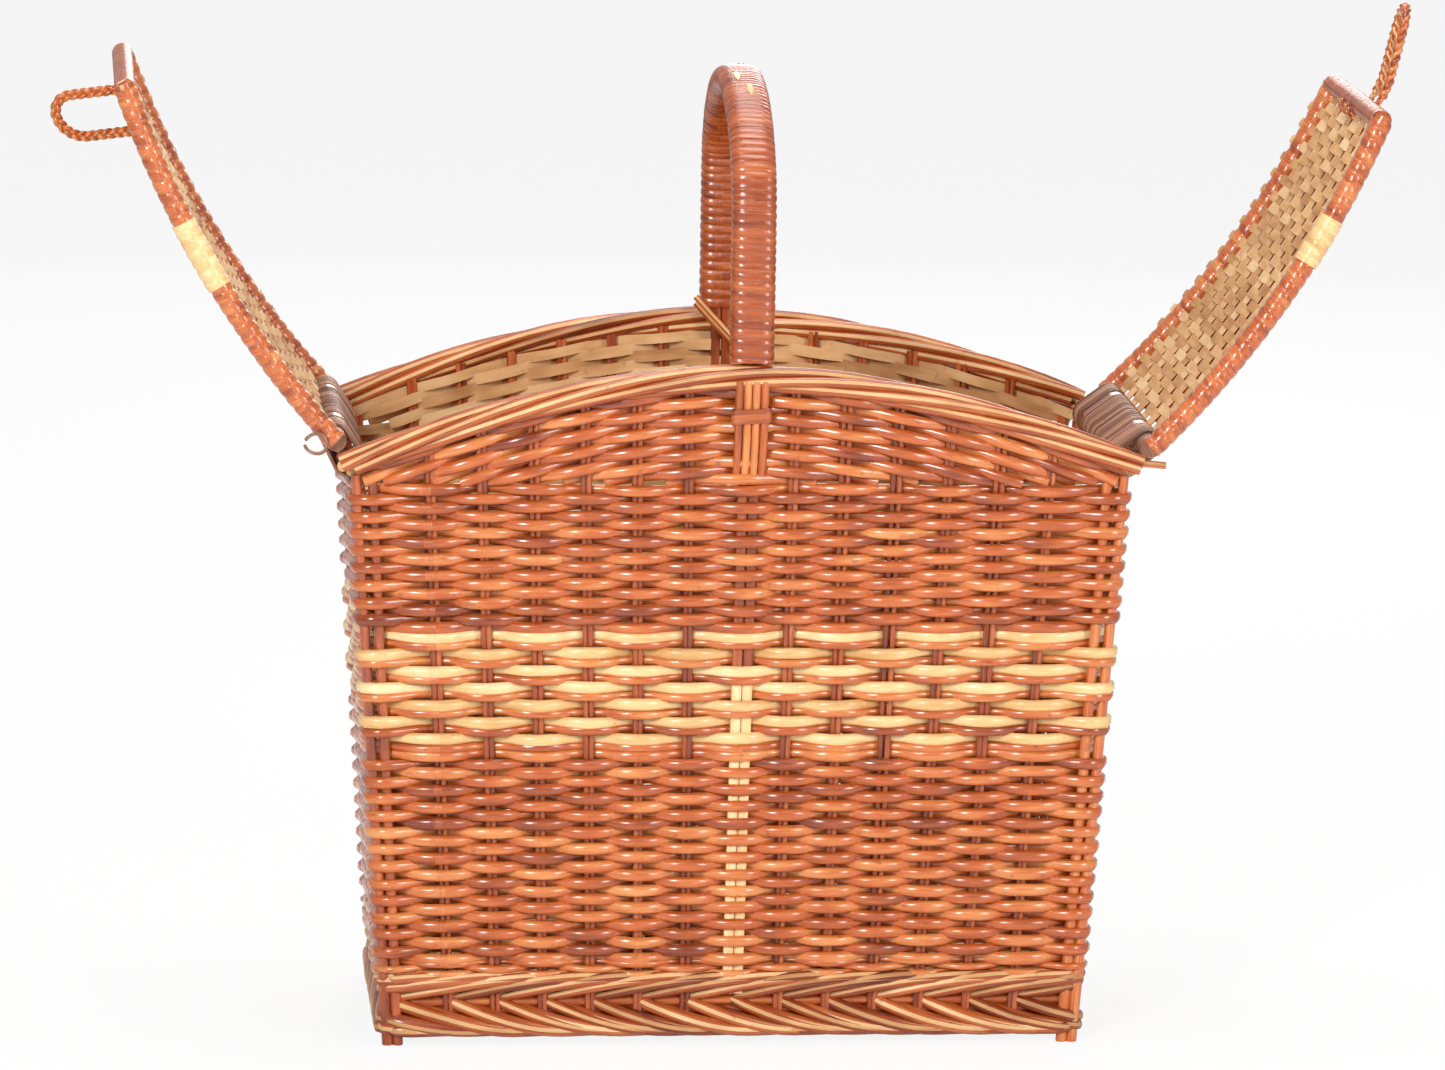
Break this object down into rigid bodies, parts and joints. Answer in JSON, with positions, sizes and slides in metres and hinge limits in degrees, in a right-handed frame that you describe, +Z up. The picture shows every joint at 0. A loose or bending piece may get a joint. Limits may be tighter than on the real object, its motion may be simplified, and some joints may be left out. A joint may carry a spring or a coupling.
{
  "type": "picnic basket",
  "caption": "Rectangular woven willow picnic basket with an arched rim, bowed lids hinged on the end rims, a wrapped bow handle across the middle and plaited fastening loops.",
  "frame": {"origin": "on the floor under the middle of the basket, centre of the lowest face of the bounding box", "axes": "+X to the right along the long wall, +Y to the back along the handle's span, +Z up"},
  "size_m": [0.6839, 0.2058, 0.5178],
  "materials": {
    "stained_willow": "split willow, stained orange-brown and varnished",
    "dark_willow": "darker stained skein",
    "peeled_willow": "peeled cream willow, varnished",
    "willow_pith": "the flat split side of the willow, matt",
    "binding_skein": "thin grey-brown skein"
  },
  "bodies": {
    "basket": {"back_border_and_stakes": "stained_willow", "back_cream_band": "peeled_willow", "back_crown_weave": "stained_willow", "back_handle_lashing": "dark_willow", "back_handle_rods": "stained_willow", "back_lower_weave": "stained_willow", "back_upper_weave": "stained_willow", "base_stick_1": "stained_willow", "base_stick_2": "stained_willow", "base_stick_3": "stained_willow", "base_stick_4": "stained_willow", "base_stick_5": "stained_willow", "base_weave": "willow_pith", "corner_post_back_left": "stained_willow", "corner_post_back_right": "stained_willow", "corner_post_front_left": "stained_willow", "corner_post_front_right": "stained_willow", "foot_border": "stained_willow", "front_border_and_stakes": "stained_willow", "front_cream_band": "peeled_willow", "front_crown_weave": "stained_willow", "front_handle_lashing": "dark_willow", "front_handle_rods": "stained_willow", "front_lower_weave": "stained_willow", "front_upper_weave": "stained_willow", "handle_core_left": "peeled_willow", "handle_core_right": "peeled_willow", "handle_wrap": "stained_willow", "left_border_and_stakes": "stained_willow", "left_cream_band": "peeled_willow", "left_hinge_ring_back": "binding_skein", "left_hinge_ring_front": "binding_skein", "left_lower_weave": "stained_willow", "left_upper_weave": "stained_willow", "right_border_and_stakes": "stained_willow", "right_cream_band": "peeled_willow", "right_hinge_ring_back": "binding_skein", "right_hinge_ring_front": "binding_skein", "right_lower_weave": "stained_willow", "right_upper_weave": "stained_willow", "upsett_wale": "stained_willow"},
    "left_lid": {"left_lid_back_rail": "stained_willow", "left_lid_cream_wrap": "peeled_willow", "left_lid_free_rail": "binding_skein", "left_lid_front_rail": "stained_willow", "left_lid_hinge_rail": "binding_skein", "left_lid_panel": "willow_pith", "left_lid_staple_loop": "stained_willow"},
    "right_lid": {"right_lid_back_rail": "stained_willow", "right_lid_cream_wrap": "peeled_willow", "right_lid_free_rail": "binding_skein", "right_lid_front_rail": "stained_willow", "right_lid_hinge_rail": "binding_skein", "right_lid_panel": "willow_pith"},
    "hasp": {"right_lid_hasp_loop": "stained_willow"}
  },
  "joints": [
    {"name": "left_lid_hinge", "type": "hinge", "parent": "basket", "child": "left_lid", "pos_m": [-0.20034, 0, 0.30742], "axis": [0, 1, 0], "range_deg": [0, 108.6]},
    {"name": "right_lid_hinge", "type": "hinge", "parent": "basket", "child": "right_lid", "pos_m": [0.20434, 0, 0.30418], "axis": [0, -1, 0], "range_deg": [0, 111.1]},
    {"name": "hasp_pivot", "type": "hinge", "parent": "right_lid", "child": "hasp", "pos_m": [0.31716, 0, 0.46711], "axis": [0, 1, 0], "range_deg": [0, 75]}
  ]
}
